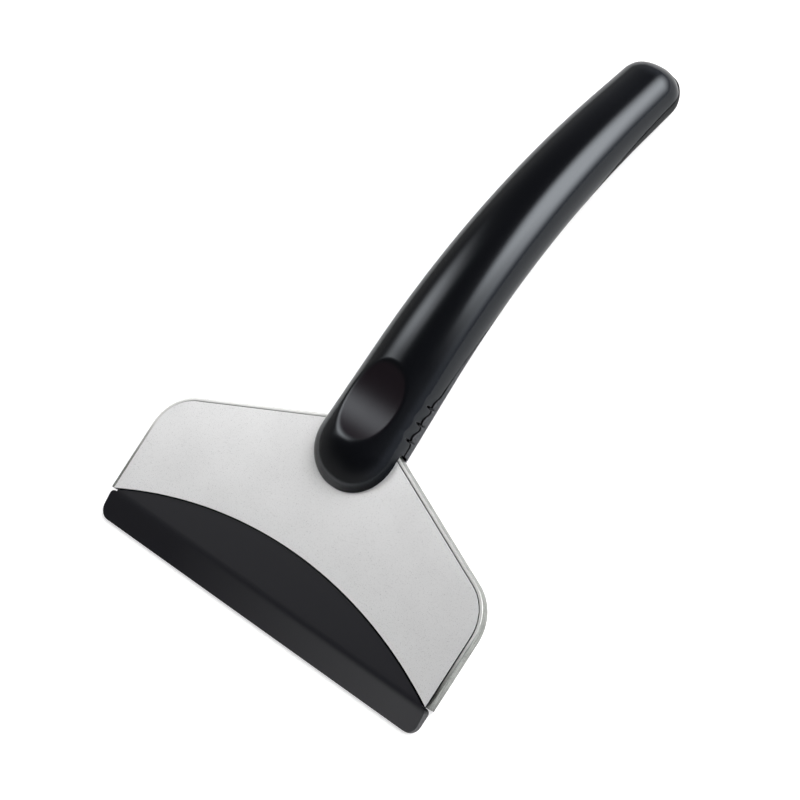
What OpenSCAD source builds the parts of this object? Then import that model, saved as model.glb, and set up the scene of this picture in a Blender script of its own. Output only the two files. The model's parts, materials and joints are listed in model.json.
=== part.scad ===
// Hand ice scraper: a steel-faced head with a black plastic blade, on a hollow handle of two shells.
// All pieces are drawn flat in the head's own frame: X across, Y from the blade's front edge to the
// handle's tail, Z out of the front panel, with the panel's face at Z = 0. They are then turned
// together so that the scraper rests on its blade edge and its tail, with its thumb side up.

/* [Front panel] */
// Width of the steel front panel
panel_w = 109.2; // [90:0.1:130]
// Thickness of the front panel's sheet
panel_t = 0.8; // [0.5:0.05:1.5]
// Distance from the blade's front edge to the panel's lower corners
panel_front_y = 7.6; // [6:0.1:10]
// Distance from the blade's front edge to the highest point of the panel's arc
arc_peak_y = 20; // [14:0.1:26]
// Distance from the blade's front edge to the point where a side meets a shoulder
panel_side_y = 34.4; // [30:0.1:40]
// Rise of the shoulders towards the handle
shoulder_angle = 22.2; // [15:0.1:28]
// Radius of the two outer corners
corner_r = 11.5; // [5:0.1:16]
// Width of the panel's tongue under the handle
panel_tongue_w = 12; // [8:0.1:14]
// Distance from the blade's front edge to the end of the panel's tongue
panel_tongue_y = 58; // [57:0.1:62]

/* [Bonding tape] */
// Thickness of the bonding tape behind the panel
tape_t = 0.15; // [0.1:0.01:0.4]
// Distance of the tape from the panel's edges
tape_margin = 3; // [1:0.1:6]

/* [Blade] */
// Distance by which the blade stands out past each side of the panel
blade_proud = 0.45; // [0:0.05:0.8]
// Thickness of the blade plate inside the head
blade_t = 1.7; // [1.2:0.05:3]
// Height of the blade's visible land above its plate
land_h = 0.7; // [0.2:0.05:0.9]
// Gap between the panel's arc and the visible land
arc_gap = 0.35; // [0.1:0.01:1]
// Distance from the front edge to the crease where the bevel starts
crease_y = 7.3; // [4:0.1:7.5]
// Thickness of the blade at its front edge
edge_t = 1.15; // [0.6:0.05:1.6]
// Radius of the blade's front corners
blade_corner_r = 3; // [1:0.1:5]
// Radius of the blade's rear corners, beside the pan
blade_ear_r = 1.3; // [0.5:0.1:2]
// Distance of the hidden plate's sides from the panel's sides
plate_inset = 1.2; // [0.5:0.1:3]
// Width of the neck that goes into the handle
neck_w = 14; // [11:0.1:16]
// Distance from the blade's front edge to the neck's end
neck_end_y = 80; // [79:0.1:90]
// Distance from the blade's front edge to the start of the neck's thick block
block_start_y = 60; // [59:0.1:68]
// Height of the neck's block above the blade plate
block_h = 2.4; // [0.8:0.1:2.6]

/* [Back pan] */
// Thickness of the back pan's sheet
pan_t = 0.8; // [0.3:0.05:1]
// Gap between the front panel and the pan's rim
rim_gap = 0.17; // [0.15:0.01:1]
// Height by which the front panel stands proud of the pan's rim
rim_drop = 0.3; // [0:0.05:0.6]

/* [Rivets] */
// Diameter of a rivet's shank
rivet_d = 2.4; // [1.6:0.1:3.2]
// Diameter of a rivet's head, on the pan's back
rivet_head_d = 4.6; // [3.6:0.1:6]
// Height of a rivet's head
rivet_head_h = 0.8; // [0.4:0.1:1.2]
// Distance of the outermost rivets from the panel's sides
rivet_side = 8.6; // [6:0.1:12]
// Distance from one rivet to the next across the head
rivet_pitch = 14; // [10:0.1:16]
// Distance of the rivets from the shoulder line, measured along the handle
rivet_back = 9; // [7:0.1:12]

/* [Handle] */
// Distance from the blade's front edge to the handle's nose
nose_y = 38; // [34:0.1:42]
// Length of the handle along its curved axis
handle_l = 136.3; // [125:0.1:150]
// Depth of the handle's axis behind the panel's face
axis_depth = 1.4; // [0.8:0.1:2]
// Length of the straight stretch at the nose
straight_l = 36.4; // [30:0.1:50]
// Bend radius of the handle's axis
bend_r = 187; // [150:1:260]
// Angle through which the handle bends
bend_angle = 24.8; // [10:0.1:28]
// Half of the handle's width, measured at the nose end of its taper
nose_half_w = 12.3; // [11.5:0.1:14]
// Half of the handle's width, measured at the tail end of its taper
tail_half_w = 8.2; // [7:0.1:11]
// Half of the handle's height at the nose end of its taper
nose_half_h = 8.3; // [8:0.1:10]
// Half of the handle's height at the tail end of its taper
tail_half_h = 6.7; // [6:0.1:9]
// Length over which the tail is rounded
tail_round = 7.9; // [4:0.1:12]
// Depth of the small flat under the tail that the scraper rests on
rest_flat = 0.2; // [0.05:0.05:0.4]
// Wall thickness of both shells
shell_wall = 2; // [1.2:0.1:2.4]
// Gap along the seam between the shells
seam_gap = 0.2; // [0.05:0.01:0.4]
// Depth by which the seam dips below the axis along the grip
seam_dip = 4.2; // [0:0.1:4.4]
// Distance along the axis where the dip starts
dip_start = 24; // [20:0.5:40]
// Distance along the axis where the dip ends
dip_end = 130; // [100:0.5:134]

/* [Thumb recess] */
// Distance from the blade's front edge to the recess's middle
recess_y = 61.4; // [56:0.1:66]
// Length of the recess
recess_l = 21.6; // [14:0.1:26]
// Width of the recess, which sets its depth, because its floor is straight across the handle
recess_w = 15.4; // [8:0.1:16]

/* [Finger notches] */
// Distance from the blade's front edge to the first notch
notch_y = 59; // [57:0.1:64]
// Distance from one notch to the next
notch_pitch = 4.9; // [3.5:0.1:6]
// Number of notches on each side
notch_count = 3; // [0:1:5]
// Depth of a notch
notch_depth = 0.8; // [0.3:0.05:1.3]
// Height of the notches' middle above the handle's axis
notch_rise = 1; // [0:0.1:2]
// Radius of the ball that a notch is cut with
notch_r = 3.6; // [2.5:0.1:5]

/* [Screws] */
// Diameter of the screws' shank
screw_d = 2.9; // [2:0.1:3.2]
// Diameter of the screws' head
screw_head_d = 5.2; // [4.4:0.1:5.6]
// Height of the screws' head
screw_head_h = 1.6; // [1:0.1:2]
// Width of the cross recess in a screw's head
cross_w = 0.8; // [0.4:0.1:1]
// Outer diameter of the screw bosses
boss_d = 7; // [6.6:0.1:8]
// Clearance round a screw where it passes through a piece
screw_play = 0.3; // [0.1:0.05:0.5]
// Plastic left above and below a screw head, at the least
seat_t = 1.4; // [1:0.1:1.6]
// Distances of the first three screws from the nose, along the handle's axis
head_screw_s = 11; // [10.5:0.1:14]
neck_screw_s = 34; // [30:0.1:36]
grip_screw_s = 66; // [50:0.5:90]
// Distance of the last screw from the tail, along the handle's axis
tail_screw_back = 21; // [16:0.5:30]

/* [Hidden] */
// Overrun of every cut
cut = 1;
// Exponent of the handle's rounded section
section_power = 2.3;
// Sides of a section, and rings along each stretch of a shell
half_sides = 18;
nose_rings = 7;
grip_rings = 17;
tail_rings = 7;
// Angle on the rounded nose and tail at which the rings start and end
end_angle = 12;
// Segments of the balls that cut the notches
notch_fn = 24;
// Sides of the large cylinder that cuts the recess
scoop_fn = 180;
// Steps along the small and the large arcs
small_arc_steps = 10;
large_arc_steps = 28;
$fn = 48;

// Heights in the head, down from the panel's face
stack_t = panel_t + tape_t + blade_t + pan_t;
plate_top = -panel_t - tape_t;
plate_bottom = plate_top - blade_t;
land_top = plate_top + land_h;
// Circle through the panel's two lower corners and the arc's highest point
arc_rise = arc_peak_y - panel_front_y;
arc_r = (pow(panel_w / 2, 2) + pow(arc_rise, 2)) / (2 * arc_rise);
arc_centre_y = arc_peak_y - arc_r;
// Outward distances of the pan's inner and outer walls from the panel's edge
pan_inner = rim_gap;
pan_outer = rim_gap + pan_t;
blade_half_w = panel_w / 2 + blade_proud;
bend_l = bend_r * bend_angle * PI / 180;
side_play = 0.15;

// Points along an arc, from one angle to another
function arc_points(x, y, r, from, to, count) =
    [for (i = [0:count]) let (a = from + (to - from) * i / count) [x + r * cos(a), y + r * sin(a)]];

function mirrored(points) = [for (i = [len(points) - 1:-1:0]) [-points[i][0], points[i][1]]];

// Height of the shoulder line at a distance x from the middle, for an outline grown by grow
function shoulder_y(x, grow) =
    panel_side_y + (panel_w / 2 - x) * tan(shoulder_angle) + grow / cos(shoulder_angle);

// Right half of the head's outline: side, rounded corner, shoulder and tongue
function head_side(grow, front_y, tongue_w, tongue_y) =
    let (
        half = panel_w / 2 + grow,
        r = corner_r + grow,
        turn = 90 - shoulder_angle,
        corner_y = shoulder_y(half, grow) - r * tan(turn / 2)
    )
    concat(
        [[half, front_y]],
        arc_points(half - r, corner_y, r, 0, turn, small_arc_steps),
        [[tongue_w / 2, shoulder_y(tongue_w / 2, grow)], [tongue_w / 2, tongue_y]]
    );

module head_outline(grow, front_y, tongue_w, tongue_y) {
    side = head_side(grow, front_y, tongue_w, tongue_y);
    polygon(concat(side, mirrored(side)));
}

// The panel's outline, with its arc cut out of the front
module arched_outline(grow, tongue_w, tongue_y) {
    half = panel_w / 2 + grow;
    r = arc_r - grow;
    spread = asin(half / r);
    side = head_side(grow, arc_centre_y + r * cos(spread), tongue_w, tongue_y);
    difference() {
        polygon(concat(side, mirrored(side)));
        polygon(concat(
            arc_points(0, arc_centre_y, r, 90 - spread, 90 + spread, large_arc_steps),
            [[-half - cut, arc_centre_y + r * cos(spread)],
             [-half - cut, -cut],
             [half + cut, -cut],
             [half + cut, arc_centre_y + r * cos(spread)]]
        ));
    }
}

// Outline of the blade where it shows, in front of the pan
module blade_front_outline() {
    half = blade_half_w;
    side = concat(
        arc_points(half - blade_corner_r, blade_corner_r, blade_corner_r, -90, 0, small_arc_steps),
        arc_points(half - blade_ear_r, crease_y - blade_ear_r, blade_ear_r, 0, 90, small_arc_steps)
    );
    polygon(concat(side, mirrored(side)));
}

// Outline of the raised land, from the front edge to the arc
module land_outline() {
    half = panel_w / 2 - plate_inset;
    r = arc_r - arc_gap;
    spread = asin(half / r);
    union() {
        blade_front_outline();
        polygon(concat(
            arc_points(0, arc_centre_y, r, 90 - spread, 90 + spread, large_arc_steps),
            [[-half, crease_y - blade_ear_r], [half, crease_y - blade_ear_r]]
        ));
    }
}

module slab(bottom, top) {
    translate([0, 0, bottom]) linear_extrude(height = top - bottom) children();
}

// Handle: sizes at a distance s along its axis, for a surface set in by w from the outside

function mix(a, b, t) = a + (b - a) * t;
function bend_at(s) = min(max(s - straight_l, 0) / bend_r * 180 / PI, bend_angle);
function after_bend(s) = max(s - straight_l - bend_l, 0);
function axis_y(s) =
    nose_y + min(s, straight_l) + bend_r * sin(bend_at(s)) + after_bend(s) * cos(bend_angle);
function axis_z(s) =
    -axis_depth - bend_r * (1 - cos(bend_at(s))) - after_bend(s) * sin(bend_angle);

// Distance along the axis at which it passes a place y
function axis_s(y) =
    let (run = y - nose_y - straight_l, arc_run = bend_r * sin(bend_angle))
    run <= 0 ? y - nose_y
    : run <= arc_run ? straight_l + bend_r * asin(run / bend_r) * PI / 180
    : straight_l + bend_l + (run - arc_run) / cos(bend_angle);

// Share of the full size that is left near the rounded nose and tail
function nose_share(s, w) = let (e = max(1 - (s - w) / (nose_half_w - w), 0)) sqrt(max(1 - e * e, 0));
function tail_share(s, w) =
    let (e = max(1 - (handle_l - w - s) / (tail_round - w), 0)) sqrt(max(1 - e * e, 0));
function end_share(s, w) = nose_share(s, w) * tail_share(s, w);

function half_w(s, w) = (mix(nose_half_w, tail_half_w, s / handle_l) - w) * end_share(s, w);
function half_h(s, w) = (mix(nose_half_h, tail_half_h, s / handle_l) - w) * end_share(s, w);

// Height of the seam above the axis
function seam_at(s) =
    s <= dip_start || s >= dip_end ? 0
    : -seam_dip * pow(sin(180 * (s - dip_start) / (dip_end - dip_start)), 2);

// Angle of the rounded section at which it crosses a height z
function section_angle(z, h) = sign(z) * asin(pow(min(abs(z) / h, 1), section_power / 2));
function power_of(c) = sign(c) * pow(abs(c), 2 / section_power);

// A section's point, from its local place to the head's frame
function placed_point(s, x, z) =
    [x, axis_y(s) + z * sin(bend_at(s)), axis_z(s) + z * cos(bend_at(s))];

// One ring of a half shell: side 1 is the upper half and side -1 the lower
function half_ring(s, w, side, lip) =
    let (
        a = half_w(s, w),
        h = half_h(s, w),
        start = section_angle(side * (seam_at(s) + lip), h)
    )
    [for (i = [0:half_sides])
        let (t = start + (180 - 2 * start) * i / half_sides)
        placed_point(s, a * power_of(cos(t)) * side, h * power_of(sin(t)) * side)];

// Distances of the rings along the axis
function ring_places(w) =
    concat(
        [for (i = [0:nose_rings - 1])
            w + (nose_half_w - w) * (1 - cos(mix(end_angle, 90, i / nose_rings)))],
        [for (i = [0:grip_rings]) mix(nose_half_w, handle_l - tail_round, i / grip_rings)],
        [for (i = [tail_rings - 1:-1:0])
            handle_l - w - (tail_round - w) * (1 - cos(mix(end_angle, 90, i / tail_rings)))]
    );

// Closed surface through a list of rings
module loft(rings) {
    n = len(rings[0]);
    last = len(rings) - 1;
    sides = [for (j = [0:last - 1]) for (i = [0:n - 1]) for (k = [0:1])
        let (a = j * n + i, b = j * n + (i + 1) % n)
        k == 0 ? [a, b, b + n] : [a, b + n, a + n]];
    polyhedron(
        points = [for (ring = rings) for (point = ring) point],
        faces = concat(
            sides,
            [[for (i = [n - 1:-1:0]) i]],
            [[for (i = [0:n - 1]) last * n + i]]
        ),
        convexity = 6
    );
}

// Upper or lower half of the handle as a solid, set in by w, and ending lip above the seam
module half_solid(w, side, lip) {
    loft([for (s = ring_places(w)) half_ring(s, w, side, lip)]);
}

// Rest: the line that touches the blade's front edge and the handle's tail is laid flat

function tail_bottom(s) = placed_point(s, 0, rest_flat - half_h(s, 0));
rest_places = ring_places(0);
rest_tilt = max([for (s = rest_places)
    atan2(plate_bottom - tail_bottom(s)[2], tail_bottom(s)[1])]);
function turned_y(point) = point[1] * cos(rest_tilt) - (point[2] - plate_bottom) * sin(rest_tilt);
tail_reach = max([for (s = rest_places) for (point = concat(half_ring(s, 0, 1, 0), half_ring(s, 0, -1, 0)))
    turned_y(point)]);
edge_reach = -edge_t * sin(rest_tilt);

module at_rest() {
    translate([0, -(tail_reach + edge_reach) / 2, 0])
        rotate([rest_tilt, 0, 0])
            translate([0, 0, -plate_bottom])
                children();
}

// Head

module front_panel() {
    color([0.78, 0.78, 0.79])
        at_rest()
            difference() {
                slab(-panel_t, 0) arched_outline(0, panel_tongue_w, panel_tongue_y);
                screw_hole(0);
            }
}

module panel_tape() {
    color([0.9, 0.9, 0.86])
        at_rest()
            difference() {
                slab(plate_top, -panel_t)
                    arched_outline(-tape_margin, panel_tongue_w - 2 * side_play, panel_tongue_y);
                screw_hole(0);
            }
}

module bevel_cut() {
    half = blade_half_w + cut;
    edge_top = plate_bottom + edge_t;
    slope = (land_top - edge_top) / crease_y;
    translate([-half, 0, 0])
        rotate([90, 0, 90])
            linear_extrude(height = 2 * half)
                polygon([
                    [-cut, edge_top - cut * slope],
                    [crease_y, land_top],
                    [crease_y, land_top + cut],
                    [-cut, land_top + cut]
                ]);
}

module scraper_blade() {
    color([0.1, 0.1, 0.11])
        at_rest()
            difference() {
                union() {
                    slab(plate_bottom, plate_top)
                        head_outline(-plate_inset, crease_y - blade_ear_r, neck_w, neck_end_y);
                    slab(plate_bottom, plate_top) blade_front_outline();
                    slab(plate_top, land_top) land_outline();
                    translate([-neck_w / 2, block_start_y, plate_top])
                        cube([neck_w, neck_end_y - block_start_y, block_h]);
                }
                bevel_cut();
                screw_hole(0);
                screw_hole(1);
                rivet_holes();
            }
}

module back_pan() {
    color([0.72, 0.72, 0.73])
        at_rest()
            difference() {
                union() {
                    slab(-stack_t, plate_bottom)
                        head_outline(pan_outer, panel_front_y, neck_w, neck_end_y);
                    slab(plate_bottom, -rim_drop)
                        difference() {
                            head_outline(pan_outer, panel_front_y, neck_w, panel_tongue_y);
                            head_outline(pan_inner, panel_front_y - cut, neck_w, panel_tongue_y + cut);
                            translate([-neck_w / 2 - side_play, panel_side_y])
                                square([neck_w + 2 * side_play, neck_end_y]);
                        }
                }
                screw_hole(0);
                screw_hole(1);
                rivet_holes();
            }
}

// Rivets: head on the pan's back, shank through the pan and the blade plate

function rivet_x(i) = panel_w / 2 - rivet_side - i * rivet_pitch;
function rivet_y(i) = shoulder_y(rivet_x(i), 0) - rivet_back;

module rivet_holes() {
    for (side = [-1, 1])
        for (i = [0:2])
            translate([side * rivet_x(i), rivet_y(i), -stack_t - cut])
                cylinder(d = rivet_d, h = stack_t + 2 * cut);
}

module rivet(side, i) {
    color([0.75, 0.75, 0.77])
        at_rest()
            translate([side * rivet_x(i), rivet_y(i), 0])
                rotate_extrude()
                    polygon([
                        [0, -stack_t - rivet_head_h],
                        [(rivet_head_d - rivet_head_h) / 2, -stack_t - rivet_head_h],
                        [rivet_head_d / 2, -stack_t],
                        [rivet_d / 2, -stack_t],
                        [rivet_d / 2, plate_top],
                        [0, plate_top]
                    ]);
}

// Screws: each stands square to the handle's axis, with its head in the bottom shell. Heights of a
// screw and its bosses are counted from the axis.

// Places of the screws along the axis
screw_s = [head_screw_s, neck_screw_s, grip_screw_s, handle_l - tail_screw_back];
last_screw = len(screw_s) - 1;

// Where the bosses meet: the head's stack lies between those of the head and neck screws, and the
// others meet at the seam
lower_joint = [
    -stack_t - axis_z(screw_s[0]),
    -stack_t - axis_z(screw_s[1]),
    seam_at(screw_s[2]),
    seam_at(screw_s[3])
];
upper_joint = [
    -axis_z(screw_s[0]),
    plate_top + block_h - axis_z(screw_s[1]),
    seam_at(screw_s[2]),
    seam_at(screw_s[3])
];
function seat(i) =
    min(lower_joint[i] - seat_t, -half_h(screw_s[i], 0) + screw_head_h + seat_t);
function tip(i) = half_h(screw_s[i], 0) - shell_wall;

// Moves its children from the axis at screw i to the head's frame
module at_screw(i) {
    translate([0, axis_y(screw_s[i]), axis_z(screw_s[i])])
        rotate([-bend_at(screw_s[i]), 0, 0])
            children();
}

module rod(d, bottom, top) {
    translate([0, 0, bottom]) cylinder(d = d, h = top - bottom);
}

// Hole through the head for screw i
module screw_hole(i) {
    translate([0, axis_y(screw_s[i]), 0])
        rod(screw_d + 2 * screw_play, -stack_t - cut, block_h + cut);
}

module screw(i) {
    point_l = screw_d;
    color([0.6, 0.6, 0.62])
        at_rest()
            at_screw(i)
                difference() {
                    rotate_extrude()
                        polygon([
                            [0, seat(i) - screw_head_h],
                            [screw_head_d / 2, seat(i) - screw_head_h],
                            [screw_head_d / 2, seat(i)],
                            [screw_d / 2, seat(i)],
                            [screw_d / 2, tip(i) - point_l],
                            [screw_d / 6, tip(i)],
                            [0, tip(i)]
                        ]);
                    for (a = [0, 90])
                        rotate([0, 0, a])
                            translate([-screw_d / 2, -cross_w / 2, seat(i) - screw_head_h - cut])
                                cube([screw_d, cross_w, cut + screw_head_h / 2]);
                }
}

// Handle shells

// Scoop of the thumb recess, grown by grow: a cylinder across the handle. The crown falls away at both
// sides, so the cut's outline is an oval as wide as the crown is where it lies as low as the floor.
module recess_scoop(grow) {
    s = recess_y - nose_y;
    crown = axis_z(s) + half_h(s, 0);
    wide_share = recess_w / 2 / half_w(s, 0);
    depth = half_h(s, 0) * (1 - pow(1 - pow(wide_share, section_power), 1 / section_power));
    r = (pow(recess_l / 2, 2) + pow(depth, 2)) / (2 * depth);
    translate([-nose_half_w - cut, recess_y, crown - depth + r])
        rotate([0, 90, 0])
            cylinder(r = r + grow, h = 2 * (nose_half_w + cut), $fn = scoop_fn);
}

// Balls that cut the finger notches into both sides
module notches() {
    for (side = [-1, 1])
        for (i = [0:1:notch_count - 1])
            let (y = notch_y + i * notch_pitch, s = axis_s(y))
            translate([side * (half_w(s, 0) + notch_r - notch_depth), y, axis_z(s) + notch_rise])
                sphere(r = notch_r, $fn = notch_fn);
}

// Room for the head between the shells
module head_room() {
    slab(-stack_t, 0)
        head_outline(pan_outer + side_play, panel_front_y, neck_w, panel_tongue_y);
}

module handle_top_shell() {
    color([0.07, 0.07, 0.08])
        at_rest()
            difference() {
                union() {
                    difference() {
                        half_solid(0, 1, seam_gap / 2);
                        difference() {
                            half_solid(shell_wall, 1, -cut);
                            recess_scoop(shell_wall);
                        }
                    }
                    for (i = [0:last_screw])
                        at_screw(i) rod(boss_d, upper_joint[i], tip(i) + shell_wall / 2);
                }
                recess_scoop(0);
                head_room();
                notches();
                for (i = [0:last_screw])
                    at_screw(i) rod(screw_d, upper_joint[i] - cut, tip(i));
            }
}

// What lies below the surface that the scraper rests on
module below_rest() {
    translate([-nose_half_w, 0, -nose_half_h]) cube([2 * nose_half_w, handle_l, nose_half_h]);
}

module lower_shell() {
    difference() {
        union() {
            difference() {
                half_solid(0, -1, -seam_gap / 2);
                half_solid(shell_wall, -1, cut);
            }
            for (i = [0:last_screw])
                at_screw(i) rod(boss_d, -half_h(screw_s[i], 0) + shell_wall / 2, lower_joint[i]);
        }
        head_room();
        notches();
        for (i = [0:last_screw])
            at_screw(i) {
                rod(screw_d + 2 * screw_play, seat(i) - cut, lower_joint[i] + cut);
                rod(screw_head_d + 2 * screw_play, -half_h(screw_s[i], 0) - cut, seat(i));
            }
    }
}

module handle_bottom_shell() {
    color([0.12, 0.12, 0.13])
        difference() {
            at_rest() lower_shell();
            below_rest();
        }
}

front_panel();
panel_tape();
scraper_blade();
back_pan();
rivet(-1, 0);  // rivet_left_outer
rivet(-1, 1);  // rivet_left_middle
rivet(-1, 2);  // rivet_left_inner
rivet(1, 0);  // rivet_right_outer
rivet(1, 1);  // rivet_right_middle
rivet(1, 2);  // rivet_right_inner
handle_top_shell();
handle_bottom_shell();
screw(0);  // head_screw
screw(1);  // neck_screw
screw(2);  // grip_screw
screw(3);  // tail_screw
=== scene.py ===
import json
import math

import bmesh
import bpy
import numpy as np
from mathutils import Matrix, Vector


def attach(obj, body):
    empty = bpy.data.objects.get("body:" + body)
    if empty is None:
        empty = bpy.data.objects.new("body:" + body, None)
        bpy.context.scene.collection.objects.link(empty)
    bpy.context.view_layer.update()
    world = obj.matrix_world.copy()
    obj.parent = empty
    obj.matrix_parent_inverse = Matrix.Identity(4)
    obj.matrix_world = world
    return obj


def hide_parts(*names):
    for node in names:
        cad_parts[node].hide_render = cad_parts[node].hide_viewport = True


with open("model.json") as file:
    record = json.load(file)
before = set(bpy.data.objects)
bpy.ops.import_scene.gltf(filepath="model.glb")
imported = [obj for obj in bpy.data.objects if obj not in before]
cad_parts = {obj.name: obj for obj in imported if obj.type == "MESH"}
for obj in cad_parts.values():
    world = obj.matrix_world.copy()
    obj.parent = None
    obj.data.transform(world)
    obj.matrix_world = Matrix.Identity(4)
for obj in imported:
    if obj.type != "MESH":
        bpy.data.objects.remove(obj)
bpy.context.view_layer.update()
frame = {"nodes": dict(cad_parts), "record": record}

mm = 0.001
mounts = {mount["name"]: mount for mount in frame["record"]["mounts"]}

# Sizes of the head, in millimetres: x across, y from the blade's front edge to the tail, z out of the panel
head = {
    "panelW": 109.2, "panelT": 0.8, "panelFrontY": 7.6, "arcPeakY": 20.0, "panelSideY": 34.4,
    "shoulderAngle": 22.2, "cornerR": 11.5, "tongueW": 12.0, "tongueY": 58.0,
    "tapeT": 0.15, "bladeT": 1.7, "edgeT": 1.15, "panT": 0.8, "rimGap": 0.17, "rimDrop": 0.3,
    "neckW": 14.0, "neckEndY": 80.0,
}
head["stackT"] = head["panelT"] + head["tapeT"] + head["bladeT"] + head["panT"]
head["plateBottom"] = -head["stackT"] + head["panT"]

# The blade's front face is a mount: it gives the tilt at which the scraper rests, and the head's place
edgeMiddle = Vector((0, 0, head["plateBottom"] + head["edgeT"] / 2))
edgePos = Vector(mounts["blade_edge"]["pos_m"])
edgeAxis = mounts["blade_edge"]["axis"]
restTilt = math.atan2(-edgeAxis[2], -edgeAxis[1])
restTurn = Matrix.Rotation(restTilt, 4, "X")
headToRow = (Matrix.Translation(edgePos) @ restTurn @ Matrix.Translation(-edgeMiddle * mm)
             @ Matrix.Scale(mm, 4))


# Places in the head's millimetres, turned and moved to the row's metres
def toRow(points):
    points = np.asarray(points, float).reshape(-1, 3)
    m = np.array(headToRow)
    return points @ m[:3, :3].T + m[:3, 3]


# Radius of the arc along the panel's front, from half its width and its rise
def arcRadius():
    rise = head["arcPeakY"] - head["panelFrontY"]
    return ((head["panelW"] / 2) ** 2 + rise ** 2) / (2 * rise)


# Quads of a grid of rows and columns, with the columns closed into a ring
def ringFaces(rows, cols):
    i, j = np.meshgrid(np.arange(rows - 1), np.arange(cols), indexing="ij")
    a, b = i * cols + j, i * cols + (j + 1) % cols
    return np.stack([a, b, b + cols, a + cols], -1).reshape(-1, 4)


# One vertex for each place: places equal to 0.0001 mm are joined, and faces that lose a corner by it
# become triangles
def welded(points, faces, caps=()):
    _, first, joined = np.unique(np.round(points, 4), axis=0, return_index=True, return_inverse=True)
    joined = joined.reshape(-1)
    faces = joined[faces]
    whole = (faces != np.roll(faces, 1, axis=1)).all(axis=1)
    slim = [list(dict.fromkeys(face)) for face in faces[~whole].tolist()]
    ends = [list(dict.fromkeys(joined[list(cap)].tolist())) for cap in caps]
    return points[first], faces[whole].tolist() + [face for face in slim if len(face) > 2] + ends, first


# A piece from points in the head's millimetres. Its last flatFaces faces are shaded flat, the rest smooth
def addPiece(name, points, faces, material, flatFaces=0):
    mesh = bpy.data.meshes.new(name)
    mesh.from_pydata(toRow(points).tolist(), [], faces)
    smooth = np.ones(len(faces), bool)
    smooth[len(faces) - flatFaces:] = False
    mesh.polygons.foreach_set("use_smooth", smooth)
    bm = bmesh.new()
    bm.from_mesh(mesh)
    bmesh.ops.recalc_face_normals(bm, faces=bm.faces)
    bm.to_mesh(mesh)
    bm.free()
    piece = bpy.data.objects.new(name, mesh)
    bpy.context.scene.collection.objects.link(piece)
    mesh.materials.append(material)
    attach(piece, "root")
    return piece


# sRGB hex to linear colour
def hexColor(text):
    values = [int(text[i:i + 2], 16) / 255 for i in (1, 3, 5)]
    return [v / 12.92 if v <= 0.04045 else ((v + 0.055) / 1.055) ** 2.4 for v in values] + [1.0]


# Adds a node with its settings, and sets or links its inputs. Stops are a colour ramp's places and colours
def addNode(tree, kind, inputs=None, stops=(), **settings):
    made = tree.nodes.new(kind)
    for key, value in settings.items():
        setattr(made, key, value)
    for key, value in (inputs or {}).items():
        if isinstance(value, bpy.types.NodeSocket):
            tree.links.new(value, made.inputs[key])
        else:
            made.inputs[key].default_value = value
    if stops:
        elements = made.color_ramp.elements
        while len(elements) < len(stops):
            elements.new(1.0)
        for element, (place, color) in zip(elements, stops):
            element.position, element.color = place, hexColor(color)
    return made


# A material with its shader's plain values, given with _ for each space in a socket's name
def startMaterial(name, **sockets):
    material = bpy.data.materials.new(name)
    material.use_nodes = True
    tree = material.node_tree
    shader = tree.nodes["Principled BSDF"]
    for key, value in sockets.items():
        shader.inputs[key.replace("_", " ")].default_value = value
    return material, tree, shader


# 1 where a surface of the head faces up, 0 on its walls: its own normal times the head's up direction,
# stretched from low and high to 0 and 1
def facingUp(tree, low, high):
    normal = addNode(tree, "ShaderNodeTexCoord").outputs["Normal"]
    headUp = (0, -math.sin(restTilt), math.cos(restTilt))
    share = addNode(tree, "ShaderNodeVectorMath", {0: normal, 1: headUp}, operation="DOT_PRODUCT")
    return addNode(tree, "ShaderNodeMapRange", {"Value": share.outputs["Value"], "From Min": low,
                                                "From Max": high}).outputs["Result"]


# Bead-blasted stainless steel: an even satin with a fine grain, scattered bright and dark specks, and edge
# walls painted dark as shade
def blastedSteel():
    look = {"grainMm": 0.22, "cloudMm": 14.0, "bumpMm": 0.01, "edgeShade": "#3c3c3d", "faceFrom": 0.5,
            "faceTo": 0.95, "clouds": ((0.35, "#fafafa"), (0.65, "#ffffff")),
            "specks": ((0.26, "#d9d9d9"), (0.4, "#fafafa"), (0.6, "#fafafa"), (0.7, "#ffffff"))}
    material, tree, shader = startMaterial("blastedStainlessSteel", Metallic=0.6, Roughness=0.29)
    place = addNode(tree, "ShaderNodeTexCoord").outputs["Object"]
    grain = addNode(tree, "ShaderNodeTexNoise", {"Vector": place, "Scale": 1 / (look["grainMm"] * mm),
                                                 "Detail": 1.0})
    cloud = addNode(tree, "ShaderNodeTexNoise", {"Vector": place, "Scale": 1 / (look["cloudMm"] * mm),
                                                 "Detail": 1.0})
    specks = addNode(tree, "ShaderNodeValToRGB", {"Fac": grain.outputs["Fac"]}, stops=look["specks"])
    clouds = addNode(tree, "ShaderNodeValToRGB", {"Fac": cloud.outputs["Fac"]}, stops=look["clouds"])
    tint = addNode(tree, "ShaderNodeMix", {0: 1.0, 6: specks.outputs["Color"], 7: clouds.outputs["Color"]},
                   data_type="RGBA", blend_type="MULTIPLY")
    # Painted shade: walls that don't face up are coloured dark
    onFace = facingUp(tree, look["faceFrom"], look["faceTo"])
    whole = addNode(tree, "ShaderNodeMix", {0: onFace, 6: hexColor(look["edgeShade"]), 7: tint.outputs[2]},
                    data_type="RGBA")
    tree.links.new(whole.outputs[2], shader.inputs["Base Color"])
    bump = addNode(tree, "ShaderNodeBump", {"Height": grain.outputs["Fac"], "Distance": look["bumpMm"] * mm})
    tree.links.new(bump.outputs["Normal"], shader.inputs["Normal"])
    return material
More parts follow.
